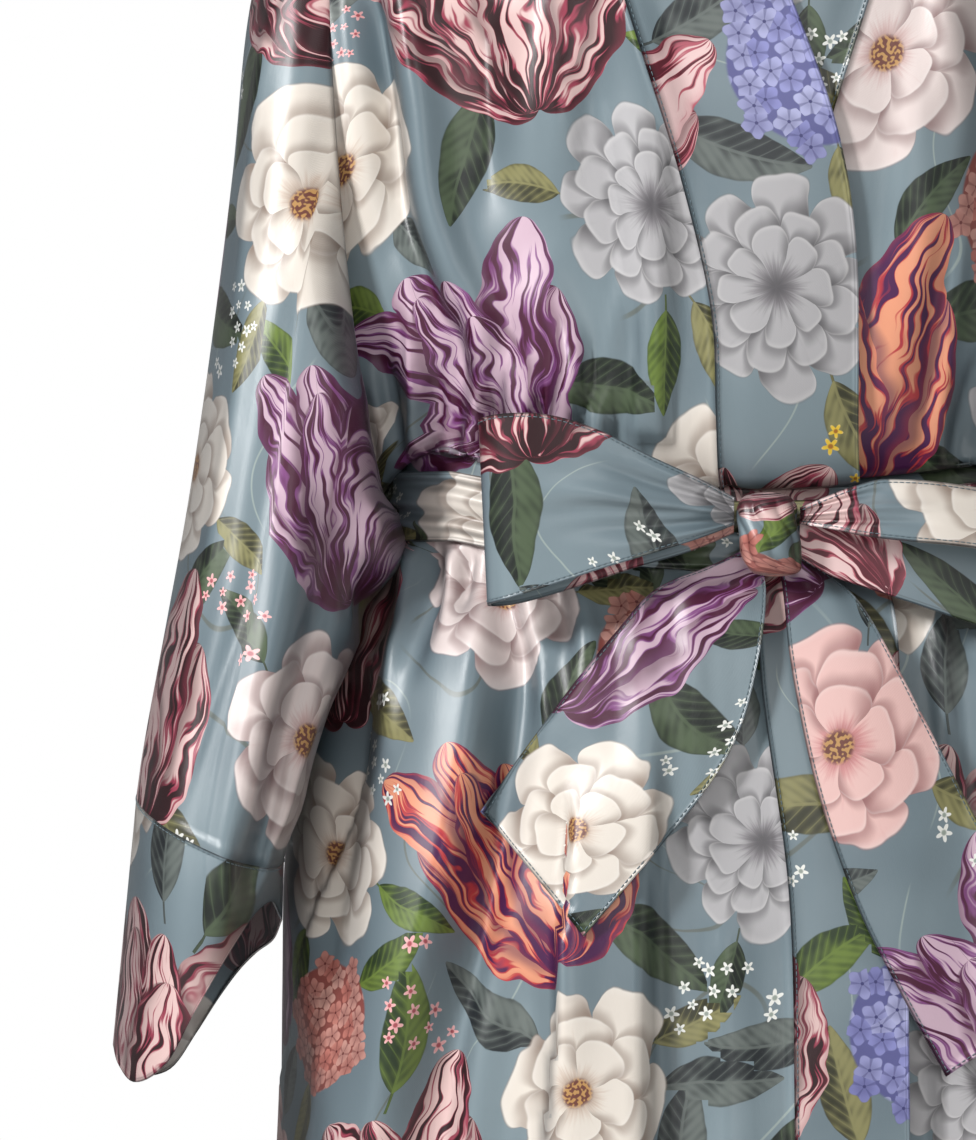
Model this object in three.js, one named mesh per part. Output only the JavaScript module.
// Kimono robe with its own belt, worn shape with no wearer inside.
// Sizes are millimetres, +Z up, the front faces -Y, +X is the wearer's left.
// The origin is between the shoulder seams, where the wearer's shoulders hold it up.
import * as THREE from "three";

const CLOTH = 1.5;          // satin, drawn as thick as a wall may be
const BAND = 2.5;           // the neck band is double
const BELT = 3.0;           // the belt is double
const SEAM = 0.3;           // gap left between two sewn pieces
const SHOULDER_END = [188, -62];
const UNDERARM_Z = -391;
const FRONT_HANG_Z = -366;  // how low the bodice hangs over the belt at the front
const NECK_HALF = 98;       // from the centre to the neck seam on the shoulder
const ARCH = 95;            // height over which a shoulder rounds over
const ARM_ROWS = 12;        // rows from shoulder end to underarm
const CORNER = 0.82;        // 1 is an ellipse, less is squarer

const lerp = (a, b, t) => a + (b - a) * t;
const clamp = (v, lo = 0, hi = 1) => Math.min(hi, Math.max(lo, v));
const smooth = (t) => clamp(t) ** 2 * (3 - 2 * clamp(t));
const vec = (x, y, z) => new THREE.Vector3(x, y, z);

function table(columns, rows) {
  const names = columns.split(" ");
  return rows.map((row) => Object.fromEntries(names.map((n, i) => [n, row[i]])));
}

// A smooth reading of one column between the rows of a table.
function read(rows, key, at, column) {
  const n = rows.length;
  const up = rows[n - 1][key] > rows[0][key] ? 1 : -1;
  if ((at - rows[0][key]) * up <= 0) return rows[0][column];
  if ((at - rows[n - 1][key]) * up >= 0) return rows[n - 1][column];
  let i = 0;
  while ((at - rows[i + 1][key]) * up > 0) i += 1;
  const slope = (a, b) => (rows[b][column] - rows[a][column]) / (rows[b][key] - rows[a][key]);
  const here = slope(i, i + 1);
  const bend = (s) => (s * here <= 0 ? 0 : Math.sign(here) * Math.min(Math.abs(s), 3 * Math.abs(here)));
  const m0 = i > 0 ? bend((slope(i - 1, i) + here) / 2) : here;
  const m1 = i < n - 2 ? bend((slope(i + 1, i + 2) + here) / 2) : here;
  const w = rows[i + 1][key] - rows[i][key];
  const t = (at - rows[i][key]) / w;
  const a = rows[i][column];
  const b = rows[i + 1][column];
  return (2 * t ** 3 - 3 * t ** 2 + 1) * a + (t ** 3 - 2 * t ** 2 + t) * w * m0
    + (-2 * t ** 3 + 3 * t ** 2) * b + (t ** 3 - t ** 2) * w * m1;
}

// Upper body by height at the side: half width, depth to the front, depth to the back.
const UPPER = table("z a f g", [
  [-62, 188, 105, 92],
  [-161, 188, 117, 103],
  [-250, 184, 124, 106],
  [-332, 181.5, 123, 101],
  [-360, 180, 120, 97],
  [-375, 177.5, 116, 94],
  [-386, 174, 112, 90],
  [-391, 169.5, 108, 87],
]);

// Lower body: the cloth turns up under the bodice, runs under the belt and falls to the hem.
// hang lowers a row at the sides, drop is how much of the belt line's front sag it takes.
const LOWER = table("z hang a f g drop", [
  [-364.6, -22.5, 165, 105.5, 84.5, 1],
  [-364.6, -10, 162, 103.5, 82.5, 1],
  [-366.4, -1, 154, 101.8, 81.2, 1],
  [-370, 0, 152, 101, 81, 1],
  [-387, 0, 152, 101, 81, 1],
  [-405, 0, 153, 101, 81, 1],
  [-413, 0, 156.5, 103.5, 84.5, 1],
  [-426, 0, 163, 108, 91, 0.9],
  [-446, 0, 173, 114, 100, 0.6],
  [-475, 0, 187, 118, 110, 0.25],
  [-510, 0, 199, 121, 116, 0.05],
  [-553, 0, 208.5, 124, 120, 0],
  [-610, 0, 211, 127, 124, 0],
  [-674, 0, 212.5, 129, 127, 0],
  [-760, 0, 216.5, 132, 130, 0],
  [-860, 0, 222, 135, 133, 0],
  [-980, 0, 229, 138, 137, 0],
  [-1100, 0, 235, 141, 140, 0],
]);

// Height of the shoulder ridge by distance from the centre.
const RIDGE = table("x z", [
  [0, 0],
  [60, -2],
  [98, -8],
  [150, -30],
  [188, -62],
]);

function bodyRows() {
  const rows = [];
  const mid = (SHOULDER_END[1] + UNDERARM_Z) / 2;
  const half = (SHOULDER_END[1] - UNDERARM_Z) / 2;
  const squeeze = (SHOULDER_END[1] - FRONT_HANG_Z) / (SHOULDER_END[1] - UNDERARM_Z);
  for (let j = 0; j <= ARM_ROWS; j += 1) {
    const t = (Math.PI * j) / ARM_ROWS;
    const side = mid + half * Math.cos(t);
    const z = SHOULDER_END[1] + (side - SHOULDER_END[1]) * squeeze;
    rows.push({
      v: j, z, hang: side - z, t,
      a: read(UPPER, "z", side, "a"), f: read(UPPER, "z", side, "f"), g: read(UPPER, "z", side, "g"),
      h: 80 * Math.max(0, Math.sin(t)) ** 0.8,
      k: smooth((z + 330) / 268),
      drop: smooth((-250 - z) / 116),
    });
  }
  for (const row of LOWER) rows.push({ v: rows.length, h: 0, k: 0, t: Math.PI, ...row });
  return rows;
}

const ROWS = bodyRows();
const LAST = ROWS.length - 1;
const WAIST_TOP = ARM_ROWS + 4;
const WAIST_LOW = ARM_ROWS + 6;

function rowAt(v) {
  const at = clamp(v, 0, LAST);
  const i = Math.min(LAST - 1, Math.floor(at));
  const row = {};
  for (const name of Object.keys(ROWS[0])) row[name] = lerp(ROWS[i][name], ROWS[i + 1][name], at - i);
  return row;
}

// The body's cloth. side is -1 for the front and 1 for the back, phi runs 0 to pi
// from the wearer's right side seam to the left one.
function skin(side, v, phi) {
  const r = rowAt(v);
  const cos = Math.cos(phi);
  const c = Math.sign(cos) * Math.abs(cos) ** CORNER;
  const s = Math.max(0, Math.sin(phi)) ** CORNER;
  const x = -r.a * c;
  const reach = Math.abs(x);
  const e = lerp(s, 1 - Math.abs(c) ** 2.2, clamp(r.h / 45));
  const ridge = read(RIDGE, "x", reach, "z");
  const scoop = side > 0 && reach < NECK_HALF ? 20 * (1 - (reach / NECK_HALF) ** 2) ** 0.8 : 0;
  const edge = Math.min(phi, Math.PI - phi);
  const sideways = edge < 0.66 ? Math.cos((edge / 0.66) * (Math.PI / 2)) ** 2 : 0;
  const sag = side < 0 ? 14 * Math.max(0, 1 - (reach / (0.8 * r.a)) ** 2) : 0;
  const z = r.z + (ridge - SHOULDER_END[1] - scoop) * r.k + sideways * r.hang - sag * r.drop;
  const below = Math.max(0, ridge - z);
  const arch = below < ARCH ? Math.sqrt(1 - (1 - below / ARCH) ** 2) : 1;
  const depth = side < 0 ? r.f : r.g;
  return vec(x, side * (r.h * (1 - e) + depth * arch * e), z);
}

function skinNormal(side, v, phi) {
  const dv = skin(side, Math.min(LAST, v + 0.02), phi).sub(skin(side, Math.max(0, v - 0.02), phi));
  const dp = skin(side, v, Math.min(Math.PI, phi + 0.004)).sub(skin(side, v, Math.max(0, phi - 0.004)));
  return dv.cross(dp).multiplyScalar(-side).normalize();
}

// The largest folds. Each row is a point on a fold's crest: height stands out of the
// cloth, lean moves the steep flank to the wearer's left (+) or right (-).
const FOLDS = {
  chest: table("x z height width lean", [
    [-160, -120, 0, 18, 0], [-156, -161, 5, 18, 0.3], [-147, -206, 6, 17, 0.3],
    [-142, -252, 6, 15, 0.3], [-120, -305, 5, 13, 0.3], [-100, -352, 0, 10, 0],
  ]),
  bandside: table("x z height width lean", [
    [-62, -130, 0, 12, 0], [-50, -175, 3, 11, 0], [-41, -220, 4, 11, 0],
    [-41, -300, 4, 10, 0], [-41, -356, 0, 9, 0],
  ]),
  mirror: table("x z height width lean", [
    [112, -170, 0, 16, 0], [97, -229, 4, 15, 0], [72, -296, 4, 12, 0], [62, -352, 0, 10, 0],
  ]),
  ridge: table("x z height width lean", [
    [-116, -432, 0, 14, 0], [-121, -455, 7, 17, 0.5], [-125, -503, 11, 19, 0.5],
    [-138, -566, 12, 20, 0.5], [-156, -634, 11, 20, 0.4], [-168, -700, 9, 22, 0.3],
    [-178, -860, 7, 26, 0], [-186, -1100, 8, 30, 0],
  ]),
  valley: table("x z height width lean", [
    [-94, -432, 0, 9, 0], [-100, -460, -4, 10, 0], [-106, -500, -5, 11, 0],
    [-120, -560, -5, 11, 0], [-138, -630, -4, 12, 0], [-150, -700, -2, 14, 0], [-156, -800, 0, 16, 0],
  ]),
  centre: table("x z height width lean", [
    [-44, -480, 0, 12, 0], [-46, -548, 5, 14, 0.8], [-48, -616, 7, 16, 0.8],
    [-51, -700, 8, 18, 0.6], [-58, -860, 9, 22, 0.3], [-66, -1100, 10, 26, 0],
  ]),
  left: table("x z height width lean", [
    [104, -432, 0, 14, 0], [112, -480, 6, 17, -0.3], [122, -566, 9, 19, -0.3],
    [134, -674, 9, 21, 0], [146, -860, 8, 26, 0], [158, -1100, 9, 32, 0],
  ]),
};
const BACK_FOLDS = {
  right: table("x z height width lean", [
    [-60, -424, 0, 12, 0], [-70, -480, 7, 16, 0], [-84, -640, 10, 22, 0.3], [-104, -1100, 12, 32, 0],
  ]),
  middle: table("x z height width lean", [
    [12, -424, 0, 12, 0], [10, -500, 6, 16, 0], [4, -680, 9, 22, 0], [0, -1100, 11, 32, 0],
  ]),
  left: table("x z height width lean", [
    [78, -424, 0, 12, 0], [92, -490, 7, 16, 0], [106, -660, 10, 22, -0.3], [122, -1100, 12, 32, 0],
  ]),
  blouse_right: table("x z height width lean", [
    [-90, -150, 0, 18, 0], [-78, -250, 4, 16, 0], [-62, -356, 0, 12, 0],
  ]),
  blouse_left: table("x z height width lean", [
    [100, -170, 0, 18, 0], [84, -260, 4, 16, 0], [70, -356, 0, 12, 0],
  ]),
};

function foldHeight(side, x, z) {
  let sum = 0;
  for (const rows of Object.values(side < 0 ? FOLDS : BACK_FOLDS)) {
    if (z > rows[0].z || z < rows[rows.length - 1].z) continue;
    const width = read(rows, "z", z, "width");
    const off = (x - read(rows, "z", z, "x")) / width;
    if (Math.abs(off) > 3.2) continue;
    const steep = 1 + read(rows, "z", z, "lean") * Math.tanh(off * 2);
    sum += read(rows, "z", z, "height") * Math.exp(-((off * steep) ** 2));
  }
  return sum;
}

const UNDER = () => 0;

// The top front lies over the under one, so it and its band stand a little further out.
function lapLift(x, z) {
  return 3.4 * smooth((x + 128) / 56) * smooth((-62 - z) / 60);
}

// lift adds to the folds; the under front lies flat where the top one covers it.
function clothPoint(side, v, phi, lift) {
  const p = skin(side, v, phi);
  const shows = lift === UNDER ? smooth((p.x - 50) / 30) : 1;
  const h = shows * foldHeight(side, p.x, p.z) + (lift ? lift(p.x, p.z) : 0);
  return p.addScaledVector(skinNormal(side, v, phi), h);
}

// Where the band is sewn to the top front, by height.
const SEAM_LINE = table("z x", [
  [-8, -98], [-40, -90.5], [-80, -79.5], [-120, -67.5], [-161, -55], [-242, -30], [-305, -16],
  [-350, -14], [-380, -12], [-412, -3], [-440, 3.6], [-476, 7], [-566, 18.5], [-674, 21],
  [-860, 23], [-1100, 25],
]);

// The free edge of the band opposite each seam height. ride 1 lies on the chest.
const FREE_EDGE = table("seam x y z ride", [
  [-8, -58, 4, 43, 0], [-40, -48, -36, 2, 0], [-80, -27, -74, -47, 0.2], [-120, -7, -98, -92, 0.7],
  [-161, 12, -110, -141, 1], [-242, 42, -120, -228, 1], [-305, 49.5, -120, -300, 1],
  [-350, 49.5, -120, -350, 1], [-380, 50.5, -110, -380, 1], [-412, 58, -110, -412, 1],
  [-440, 66, -115, -440, 1], [-476, 68.5, -120, -476, 1], [-566, 71, -120, -566, 1],
  [-674, 72.5, -130, -674, 1], [-860, 74, -130, -860, 1], [-1100, 76, -130, -1100, 1],
]);

function phiAt(v, x) {
  const c = clamp(-x / rowAt(v).a, -1, 1);
  return Math.acos(Math.sign(c) * Math.abs(c) ** (1 / CORNER));
}

// The angle at which row v reaches the band seam.
function seamPhi(v) {
  let phi = phiAt(v, -60);
  for (let i = 0; i < 12; i += 1) phi = phiAt(v, read(SEAM_LINE, "z", skin(-1, v, phi).z, "x"));
  return phi;
}

// The row at which the front cloth at x reaches height z, above or below the belt.
function rowOf(x, z) {
  let lo = z > FRONT_HANG_Z ? 0 : WAIST_TOP;
  let hi = z > FRONT_HANG_Z ? ARM_ROWS : LAST;
  for (let i = 0; i < 30; i += 1) {
    const mid = (lo + hi) / 2;
    if (skin(-1, mid, phiAt(mid, x)).z > z) lo = mid;
    else hi = mid;
  }
  return (lo + hi) / 2;
}

function frontPoint(x, z, lift) {
  const v = rowOf(x, z);
  return clothPoint(-1, v, phiAt(v, x), lift);
}

// Grids of points become walls

function faceNormals(grid, ring, flip) {
  const rows = grid.length;
  const cols = grid[0].length;
  const out = grid.map((row) => row.map(() => vec(0, 0, 0)));
  const last = ring ? cols : cols - 1;
  for (let i = 0; i < rows - 1; i += 1) {
    for (let j = 0; j < last; j += 1) {
      const k = (j + 1) % cols;
      const a = grid[i + 1][k].clone().sub(grid[i][j]);
      const b = grid[i][k].clone().sub(grid[i + 1][j]);
      const n = a.cross(b).multiplyScalar(flip ? -1 : 1).normalize();
      for (const [p, q] of [[i, j], [i + 1, j], [i, k], [i + 1, k]]) out[p][q].add(n);
    }
  }
  for (const row of out) for (const n of row) n.normalize();
  return out;
}

function wall(grid, normals, thick, ring, turnAt = Infinity) {
  const rows = grid.length;
  const cols = grid[0].length;
  const points = [];
  for (const row of grid) for (const p of row) points.push(p.clone());
  for (let i = 0; i < rows; i += 1) {
    for (let j = 0; j < cols; j += 1) points.push(grid[i][j].clone().addScaledVector(normals[i][j], -thick));
  }
  const inner = rows * cols;
  const at = (i, j) => i * cols + (j % cols);
  const faces = [];
  const quad = (a, b, c, d) => faces.push([a, b, c], [a, c, d]);
  const cross = (a, b, c, d) => faces.push([b, c, d], [b, d, a]);
  const last = ring ? cols : cols - 1;
  for (let i = 0; i < rows - 1; i += 1) {
    for (let j = 0; j < last; j += 1) {
      const face = j < turnAt ? quad : cross;
      face(at(i, j), at(i + 1, j), at(i + 1, j + 1), at(i, j + 1));
      face(inner + at(i, j), inner + at(i, j + 1), inner + at(i + 1, j + 1), inner + at(i + 1, j));
    }
  }
  for (let j = 0; j < last; j += 1) {
    quad(at(0, j), at(0, j + 1), inner + at(0, j + 1), inner + at(0, j));
    quad(at(rows - 1, j + 1), at(rows - 1, j), inner + at(rows - 1, j), inner + at(rows - 1, j + 1));
  }
  if (!ring) {
    for (let i = 0; i < rows - 1; i += 1) {
      quad(at(i + 1, 0), at(i, 0), inner + at(i, 0), inner + at(i + 1, 0));
      const rim = turnAt < Infinity ? cross : quad;
      rim(at(i, cols - 1), at(i + 1, cols - 1), inner + at(i + 1, cols - 1), inner + at(i, cols - 1));
    }
  }
  return solid(points, faces);
}

function solid(points, faces) {
  let volume = 0;
  for (const [a, b, c] of faces) volume += points[a].dot(points[b].clone().cross(points[c]));
  const geometry = new THREE.BufferGeometry();
  geometry.setAttribute("position", new THREE.Float32BufferAttribute(points.flatMap((p) => [p.x, p.y, p.z]), 3));
  geometry.setIndex(faces.flatMap(([a, b, c]) => (volume > 0 ? [a, b, c] : [a, c, b])));
  geometry.computeVertexNormals();
  return geometry;
}

// Moves one edge of a grid back from its seam by half the gap.
function pullRow(grid, i, next) {
  grid[i] = grid[i].map((p, j) => {
    const way = grid[next][j].clone().sub(p);
    return p.clone().addScaledVector(way, Math.min(0.4, SEAM / 2 / way.length()));
  });
}

function pullColumn(grid, j, next, gap = SEAM / 2) {
  for (const row of grid) {
    const way = row[next].clone().sub(row[j]);
    row[j] = row[j].clone().addScaledVector(way, Math.min(0.4, gap / way.length()));
  }
}

// Panels of the body

const FRONT_COLUMNS = 15;
const BACK_COLUMNS = 26;
const NECK_FROM = 8;        // the back's columns from here to its mirror lie under the neck band

function frontGrid(mirror, lift) {
  const grid = [];
  for (let v = 0; v <= LAST; v += 1) {
    const end = seamPhi(v);
    const row = [];
    for (let j = 0; j <= FRONT_COLUMNS; j += 1) {
      const phi = (end * j) / FRONT_COLUMNS;
      row.push(clothPoint(-1, v, mirror ? Math.PI - phi : phi, lift));
    }
    grid.push(row);
  }
  return grid;
}

function backGrid() {
  const grid = [];
  const turn = phiAt(0, -NECK_HALF);
  for (let v = 0; v <= LAST; v += 1) {
    const row = [];
    for (let j = 0; j <= BACK_COLUMNS; j += 1) {
      const k = Math.min(j, BACK_COLUMNS - j);
      const half = BACK_COLUMNS / 2;
      const phi = k < NECK_FROM ? (turn * k) / NECK_FROM
        : lerp(turn, Math.PI / 2, (k - NECK_FROM) / (half - NECK_FROM));
      row.push(clothPoint(1, v, j > half ? Math.PI - phi : phi));
    }
    grid.push(row);
  }
  return grid;
}

// Bands: from the middle of the back neck down to the hem, seam edge first.

const BAND_COLUMNS = 4;
const NECK_ROWS = BACK_COLUMNS / 2 - NECK_FROM;

function bandGrid(mirror, lift, rise, behind) {
  const way = mirror ? -1 : 1;
  const grid = [];
  for (let i = 0; i < NECK_ROWS; i += 1) {
    const seam = behind[0][BACK_COLUMNS / 2 - way * i].clone().add(vec(0, 0, 0.3 + 0.7 * rise));
    const sin = Math.abs(seam.x) / NECK_HALF;
    const cos = Math.sqrt(1 - sin * sin);
    const free = vec(-way * 58 * sin, 4 + 50 * cos ** 0.9, 43 + 12 * cos);
    const row = [];
    for (let j = 0; j <= BAND_COLUMNS; j += 1) row.push(seam.clone().lerp(free, j / BAND_COLUMNS));
    grid.push(row);
  }
  for (let v = 0; v <= LAST; v += 1) {
    const end = seamPhi(v);
    const base = skin(-1, v, end);
    const foot = clothPoint(-1, v, mirror ? Math.PI - end : end, lift);
    const z = base.z;
    const free = {};
    for (const name of ["x", "y", "z", "ride"]) free[name] = read(FREE_EDGE, "seam", z, name);
    const row = [foot.clone()];
    for (let j = 1; j <= BAND_COLUMNS; j += 1) {
      const w = j / BAND_COLUMNS;
      const x = lerp(base.x, free.x, w);
      const straight = vec(way * x, lerp(foot.y, free.y, w), lerp(z, free.z, w));
      let laid = null;
      const dz = (free.z - z) * w;
      if (Math.abs(dz) > 0.5) laid = frontPoint(way * x, z + dz, lift);
      else laid = clothPoint(-1, v, mirror ? Math.PI - phiAt(v, x) : phiAt(v, x), lift);
      row.push(straight.lerp(laid, free.ride * smooth(w * 4) + 0 * w));
    }
    grid.push(row);
  }
  const normals = faceNormals(grid, false, mirror);
  return grid.map((row, i) => row.map((p, j) => p.clone().addScaledVector(normals[i][j], rise)));
}

// Sleeves: O is the outer point of a section, I the inner one, b its half depth,
// c how far it hangs forward, tilt how far its front half sits lower.
const SLEEVE = table("ox oz ix iz b c tilt", [
  [-188, -62, -167.5, -391, 80, 0, 0],
  [-211, -104, -167, -404, 83, -7, 0],
  [-226, -161, -170, -416, 84, -14, 0],
  [-234, -236, -175, -430, 84, -21, 0],
  [-244, -315, -180.5, -446, 83, -28, 0],
  [-254, -386, -188, -464, 81, -34, 2],
  [-264, -445, -197, -486, 77, -40, 4],
  [-272, -490, -205.5, -518, 73, -45, 7],
  [-277, -520, -209.5, -550, 70, -50, 9],
]);
const CUFF_EDGE = table("t fx fz bx bz", [
  [0, -288, -635, -288, -635], [20, -284.5, -643, -285, -644], [40, -276.5, -650, -277.5, -652],
  [60, -262, -641, -264, -649], [80, -249, -618, -252.5, -634], [100, -238, -599, -241.5, -617],
  [120, -229.5, -585, -232, -604], [140, -222, -574, -223.5, -595], [160, -215, -569, -215, -588],
  [180, -210.5, -578, -210.5, -578],
]);
const AROUND = 2 * ARM_ROWS;

function around(i) {
  const front = i <= ARM_ROWS;
  const t = (Math.PI * (front ? i : AROUND - i)) / ARM_ROWS;
  return { front, t };
}

function armholeRing() {
  const ring = [];
  for (let i = 0; i < AROUND; i += 1) {
    const { front } = around(i);
    const v = front ? i : AROUND - i;
    ring.push(clothPoint(front ? -1 : 1, v, 0));
  }
  return ring;
}

function sleeveFold(k, t, front) {
  if (!front) return 0;
  const deep = smooth((k - 2.5) / 3);
  const at = (t - 2.25) / 0.22;
  return -7 * deep * Math.exp(-at * at) + 3 * deep * Math.exp(-(((t - 1.8) / 0.3) ** 2));
}

function sleeveGrid() {
  const hole = armholeRing();
  const grid = [hole];
  for (let k = 1; k < SLEEVE.length; k += 1) {
    const s = SLEEVE[k];
    const o = vec(s.ox, s.c, s.oz);
    const inn = vec(s.ix, s.c, s.iz);
    const ring = [];
    for (let i = 0; i < AROUND; i += 1) {
      const { front, t } = around(i);
      const p = o.clone().lerp(inn, (1 - Math.cos(t)) / 2);
      const away = (front ? -1 : 1) * Math.max(0, Math.sin(t)) ** 0.85;
      p.y += away * (s.b + sleeveFold(k, t, front));
      p.z += away * s.tilt;
      const flat = lerp(SLEEVE[0].ox, SLEEVE[0].ix, (1 - Math.cos(t)) / 2);
      p.x += (hole[i].x - flat) * Math.max(0, 1 - k / 4);
      ring.push(p);
    }
    grid.push(ring);
  }
  return grid;
}

function cuffGrid(top) {
  const edge = [];
  for (let i = 0; i < AROUND; i += 1) {
    const { front, t } = around(i);
    const at = (t * 180) / Math.PI;
    const x = read(CUFF_EDGE, "t", at, front ? "fx" : "bx");
    const z = read(CUFF_EDGE, "t", at, front ? "fz" : "bz");
    edge.push(vec(x, -50 + (front ? -1 : 1) * 66 * Math.max(0, Math.sin(t)) ** 0.9, z));
  }
  return [0, 0.34, 0.68, 1].map((w) => top.map((p, i) => {
    const q = p.clone().lerp(edge[i], w);
    q.y += (q.y + 50) * 0.06 * Math.sin(w * Math.PI);
    return q;
  }));
}

const flipX = (grid) => grid.map((row) => row.map((p) => vec(-p.x, p.y, p.z)));

// Belt

function wrapGrid() {
  const grid = [];
  const steps = 6;
  for (let i = 0; i <= steps; i += 1) {
    const v = lerp(WAIST_TOP + 0.25, WAIST_LOW, i / steps);
    const ring = [];
    const count = 22;
    for (let j = 0; j < 2 * count; j += 1) {
      const side = j < count ? -1 : 1;
      const phi = (Math.PI * (side < 0 ? j : 2 * count - j)) / count;
      const p = skin(side, v, phi);
      const pleat = 0.6 + 0.6 * Math.sin(i * 2.1 + 0.6 * Math.sin(phi * 3));
      const lap = side < 0 ? lapLift(p.x, p.z) + 1.2 * smooth((p.x + 30) / 20) * smooth((90 - p.x) / 20) : 0;
      ring.push(p.addScaledVector(skinNormal(side, v, phi), 0.6 + BELT + lap + pleat));
    }
    grid.push(ring);
  }
  return grid;
}

const PX = (x) => (x - 747) * 0.45;
const PZ = (z) => -400 + (530 - z) * 0.45;

// Tails by photo position of the two edges, with how far they stand off the skirt.
const TAIL_RIGHT = table("ax az bx bz off", [
  [740, 552, 762, 566, 7.4], [706, 568, 766, 590, 8.4], [655, 590, 764, 622, 10], [616, 632, 756, 668, 9],
  [578, 678, 742, 722, 8], [545, 722, 716, 774, 7], [512, 768, 668, 836, 6], [483, 813, 583, 935, 5],
]);
const TAIL_LEFT = table("ax az bx bz off", [
  [770, 553, 792, 553, 6.7], [780, 575, 832, 577, 8.4], [784, 604, 862, 606, 10], [788, 650, 893, 660, 9],
  [797, 705, 920, 712, 8], [812, 775, 948, 766, 7], [833, 845, 976, 820, 7], [862, 920, 1012, 884, 6],
  [898, 990, 1043, 938, 6], [945, 1076, 1076, 992, 5],
]);

function tailGrid(rows) {
  const grid = [];
  for (const row of rows) {
    const line = [];
    for (let j = 0; j <= 4; j += 1) {
      const w = j / 4;
      const x = PX(lerp(row.ax, row.bx, w));
      const z = Math.min(PZ(lerp(row.az, row.bz, w)), FRONT_HANG_Z - 24);
      const p = frontPoint(x, z, lapLift);
      const over = smooth((x + 30) / 20) * smooth((95 - x) / 20);
      p.y -= row.off + 1.2 * over + 1.5 * Math.sin(w * Math.PI) * smooth(grid.length / 3);
      p.z = PZ(lerp(row.az, row.bz, w));
      p.x = x;
      line.push(p);
    }
    grid.push(line);
  }
  return grid;
}

// Loops of the bow by photo position: the cloth leaves the knot, turns and comes back.
const LOOP_RIGHT = table("tx tz bx bz ty by", [
  [733.4, 498, 733.4, 526, -128, -128], [700, 480, 702, 538, -133, -134], [650, 457, 652, 554, -136, -137],
  [600, 432, 602, 569, -138, -138], [558, 418, 556, 584, -138, -136], [521, 414, 512, 598, -137, -133],
  [492, 416, 494, 603, -132, -128], [478, 421, 487, 605, -123, -123], [487, 424, 492, 607, -114, -119],
  [520, 424, 520, 604, -115, -118], [570, 428, 570, 590, -119, -120], [630, 452, 630, 570, -123, -122],
  [690, 484, 690, 552, -124, -123], [733.4, 504, 733.4, 534, -123, -123],
]);
const LOOP_LEFT = table("tx tz bx bz ty by", [
  [799.4, 508, 799.4, 525, -128, -129], [828, 496, 836, 531, -133, -138], [856, 486, 862, 536, -135, -142],
  [885, 480, 905, 541, -135, -144], [930, 482, 950, 545, -134, -143], [980, 489, 990, 551, -130, -139],
  [1028, 498, 1036, 565, -124, -132], [1058, 508, 1062, 590, -115, -121], [1050, 516, 1056, 634, -107, -113],
  [1020, 508, 1020, 639, -109, -115], [970, 500, 970, 624, -114, -119], [915, 500, 915, 605, -119, -122],
  [867, 503, 867, 589, -122, -123], [830, 508, 830, 576, -123, -123], [799.4, 514, 799.4, 558, -123, -122],
]);

function loopGrid(rows) {
  return rows.map((row) => {
    const line = [];
    for (let j = 0; j <= 5; j += 1) {
      const w = j / 5;
      const x = PX(lerp(row.tx, row.bx, w));
      const z = PZ(lerp(row.tz, row.bz, w));
      line.push(vec(x, lerp(row.ty, row.by, w), z));
    }
    return line;
  });
}

function knotSolid() {
  const rings = table("z a b cx cy", [
    [-384.5, 9, 6, 9, -125.3], [-387, 12.5, 9.5, 9, -126.3], [-393, 14.2, 12.2, 9.3, -127.4],
    [-400, 13.4, 12.8, 9.5, -128], [-408, 14.2, 14, 10, -126.7], [-415, 13, 12, 11, -125.4],
    [-420, 10, 6.5, 12, -125.2],
  ]);
  const count = 14;
  const points = [];
  const faces = [];
  for (const r of rings) {
    for (let j = 0; j < count; j += 1) {
      const t = (2 * Math.PI * j) / count;
      const crease = 1 + 0.05 * Math.cos(3 * t + r.z * 0.12);
      points.push(vec(r.cx + r.a * crease * Math.cos(t), r.cy + r.b * crease * Math.sin(t), r.z));
    }
  }
  for (let i = 0; i < rings.length - 1; i += 1) {
    for (let j = 0; j < count; j += 1) {
      const k = (j + 1) % count;
      const [a, b, c, d] = [i * count + j, i * count + k, (i + 1) * count + k, (i + 1) * count + j];
      faces.push([a, c, b], [a, d, c]);
    }
  }
  const top = points.length;
  points.push(vec(rings[0].cx, rings[0].cy, rings[0].z + 1.2));
  points.push(vec(rings.at(-1).cx, rings.at(-1).cy, rings.at(-1).z - 1.2));
  for (let j = 0; j < count; j += 1) {
    const k = (j + 1) % count;
    const low = (rings.length - 1) * count;
    faces.push([top, j, k], [top + 1, low + k, low + j]);
  }
  return solid(points, faces);
}

// Putting it together

const DUSTY = 0x7e96a0;
const robe = new THREE.Group();
robe.name = "kimono_robe";

function add(name, geometry, color = DUSTY) {
  const mesh = new THREE.Mesh(geometry, new THREE.MeshStandardMaterial({ color, roughness: 0.45 }));
  mesh.name = name;
  robe.add(mesh);
}

const rightFront = frontGrid(false, lapLift);
const leftFront = frontGrid(true, UNDER);
const back = backGrid();
const rightBand = bandGrid(false, lapLift, 1.0, back);
const leftBand = bandGrid(true, UNDER, 0.5, back);
const rightSleeve = sleeveGrid();
const rightCuff = cuffGrid(rightSleeve.at(-1));

for (const front of [rightFront, leftFront]) {
  pullRow(front, 0, 1);
  pullColumn(front, 0, 1);
  pullColumn(front, FRONT_COLUMNS, FRONT_COLUMNS - 1);
}
pullRow(back, 0, 1);
pullColumn(back, 0, 1);
pullColumn(back, BACK_COLUMNS, BACK_COLUMNS - 1);
for (const band of [rightBand, leftBand]) {
  pullRow(band, 0, 1);
  pullColumn(band, 0, 1, SEAM);
}
pullRow(rightSleeve, 0, 1);
pullRow(rightSleeve, rightSleeve.length - 1, rightSleeve.length - 2);
pullRow(rightCuff, 0, 1);

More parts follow.
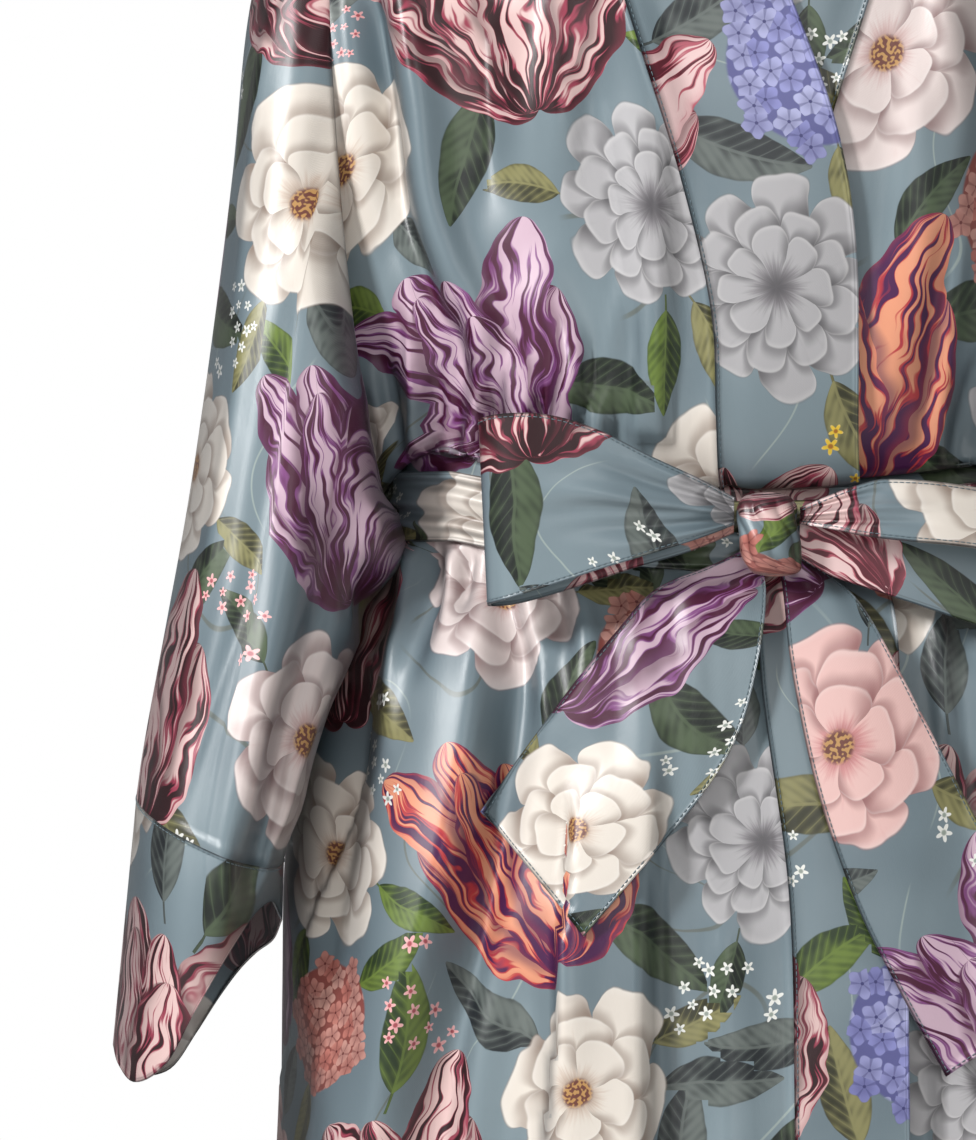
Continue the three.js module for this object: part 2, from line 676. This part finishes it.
const turned = (n) => vec(-n.x, n.y, n.z);

// Around the armhole the body and the sleeve share one direction for their cut edges.
const bodyN = faceNormals(rightFront, false, false);
const backN = faceNormals(back, false, true);
const leftN = faceNormals(leftFront, false, true);
const sleeveN = faceNormals(rightSleeve, true, false);
for (let j = 0; j <= ARM_ROWS; j += 1) {
  const share = bodyN[j][0].clone().add(sleeveN[0][j]).normalize();
  const behind = backN[j][0].clone().add(sleeveN[0][(AROUND - j) % AROUND]).normalize();
  const end = j === 0 || j === ARM_ROWS;
  const both = share.clone().add(behind).normalize();
  bodyN[j][0] = end ? both : share;
  backN[j][0] = end ? both : behind;
  sleeveN[0][j] = end ? both : share;
  if (!end) sleeveN[0][AROUND - j] = behind;
  leftN[j][0] = turned(bodyN[j][0]);
  backN[j][BACK_COLUMNS] = turned(backN[j][0]);
}

// The shoulder seam's cut edges stand square to the shoulder line.
function square(n) {
  n.y = 0;
  n.normalize();
}
for (let j = 0; j <= FRONT_COLUMNS; j += 1) {
  square(bodyN[0][j]);
  square(leftN[0][j]);
}
for (let j = 0; j <= BACK_COLUMNS; j += 1) if (Math.min(j, BACK_COLUMNS - j) <= NECK_FROM) square(backN[0][j]);
leftN[0][0] = turned(bodyN[0][0]);

// So do a band's and the cloth it is sewn to.
const rightBandN = faceNormals(rightBand, false, false);
const leftBandN = faceNormals(leftBand, false, true);
for (const [bandN, frontN, way] of [[rightBandN, bodyN, 1], [leftBandN, leftN, -1]]) {
  for (let v = 0; v <= LAST; v += 1) {
    const share = bandN[NECK_ROWS + v][0].clone().add(frontN[v][FRONT_COLUMNS]).normalize();
    bandN[NECK_ROWS + v][0] = share;
    frontN[v][FRONT_COLUMNS] = share;
  }
  for (let i = 1; i < NECK_ROWS; i += 1) {
    const column = BACK_COLUMNS / 2 - way * i;
    const share = bandN[i][0].clone().add(backN[0][column]).normalize();
    bandN[i][0] = share;
    backN[0][column] = share;
  }
  const across = bandN[0][0].clone().add(backN[0][BACK_COLUMNS / 2]);
  across.x = 0;
  bandN[0][0] = across.normalize();
  for (const n of bandN[0]) {
    n.x = 0;
    n.normalize();
  }
}
backN[0][BACK_COLUMNS / 2] = rightBandN[0][0];

add("back", wall(back, backN, CLOTH, false, BACK_COLUMNS / 2));
add("front_right", wall(rightFront, bodyN, CLOTH, false));
add("front_left", wall(leftFront, leftN, CLOTH, false));
add("band_right", wall(rightBand, rightBandN, BAND, false), 0x8aa2ac);
add("band_left", wall(leftBand, leftBandN, BAND, false), 0x8aa2ac);
add("sleeve_right", wall(rightSleeve, sleeveN, CLOTH, true));
add("sleeve_left", wall(flipX(rightSleeve), flipX(sleeveN), CLOTH, true));
add("cuff_right", wall(rightCuff, faceNormals(rightCuff, true, false), CLOTH, true));
add("cuff_left", wall(flipX(rightCuff), faceNormals(flipX(rightCuff), true, true), CLOTH, true));
const wrap = wrapGrid();
add("belt_wrap", wall(wrap, faceNormals(wrap, true, false), BELT, true), 0x8aa2ac);
add("belt_knot", knotSolid(), 0x8aa2ac);
for (const [name, rows, flip] of [["loop_right", LOOP_RIGHT, true], ["loop_left", LOOP_LEFT, false]]) {
  const grid = loopGrid(rows);
  add(`bow_${name}`, wall(grid, faceNormals(grid, false, flip), 2, false), 0x8aa2ac);
}
for (const [name, rows] of [["tail_right", TAIL_RIGHT], ["tail_left", TAIL_LEFT]]) {
  const grid = tailGrid(rows);
  add(`belt_${name}`, wall(grid, faceNormals(grid, false, false), 2, false), 0x8aa2ac);
}

export default robe;
